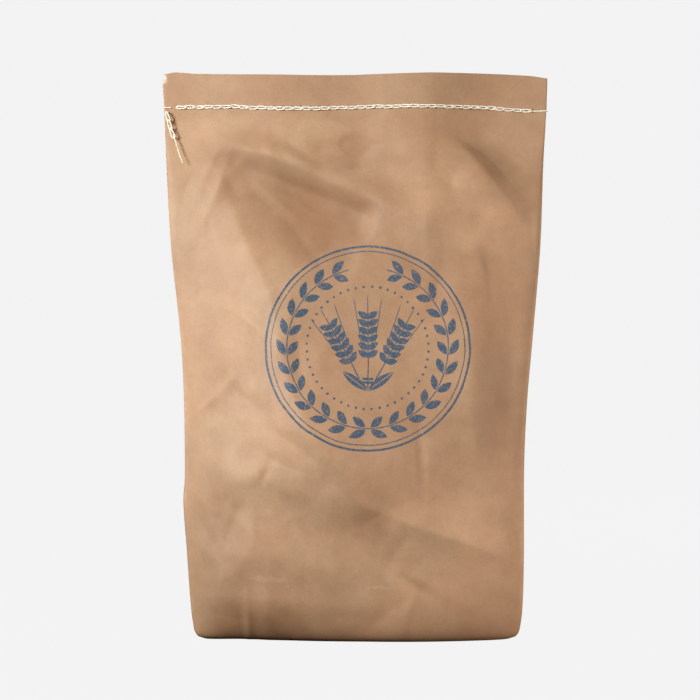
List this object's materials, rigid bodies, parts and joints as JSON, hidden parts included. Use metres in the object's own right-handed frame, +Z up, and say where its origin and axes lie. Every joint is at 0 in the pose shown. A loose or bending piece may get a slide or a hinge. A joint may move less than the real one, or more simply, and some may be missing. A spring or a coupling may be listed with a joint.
{
  "type": "paper sack of rye",
  "caption": "Filled brown paper sack of rye, standing on its base, with a flat top sewn shut by a chain-stitched thread.",
  "frame": {"origin": "middle of the base, on the surface the sack stands on", "axes": "+Z up towards the sewn top, +X to the right seen from the printed side, -Y out of the printed side"},
  "size_m": [0.3064, 0.1156, 0.4464],
  "materials": {
    "kraft_paper": "matt brown kraft paper, softly creased, with a worn blue hand stamp on the front",
    "cotton_thread": "unbleached twisted cotton sewing thread"
  },
  "bodies": {
    "root": {"sack": "kraft_paper", "seam_thread": "cotton_thread", "thread_tail": "cotton_thread"}
  },
  "joints": []
}
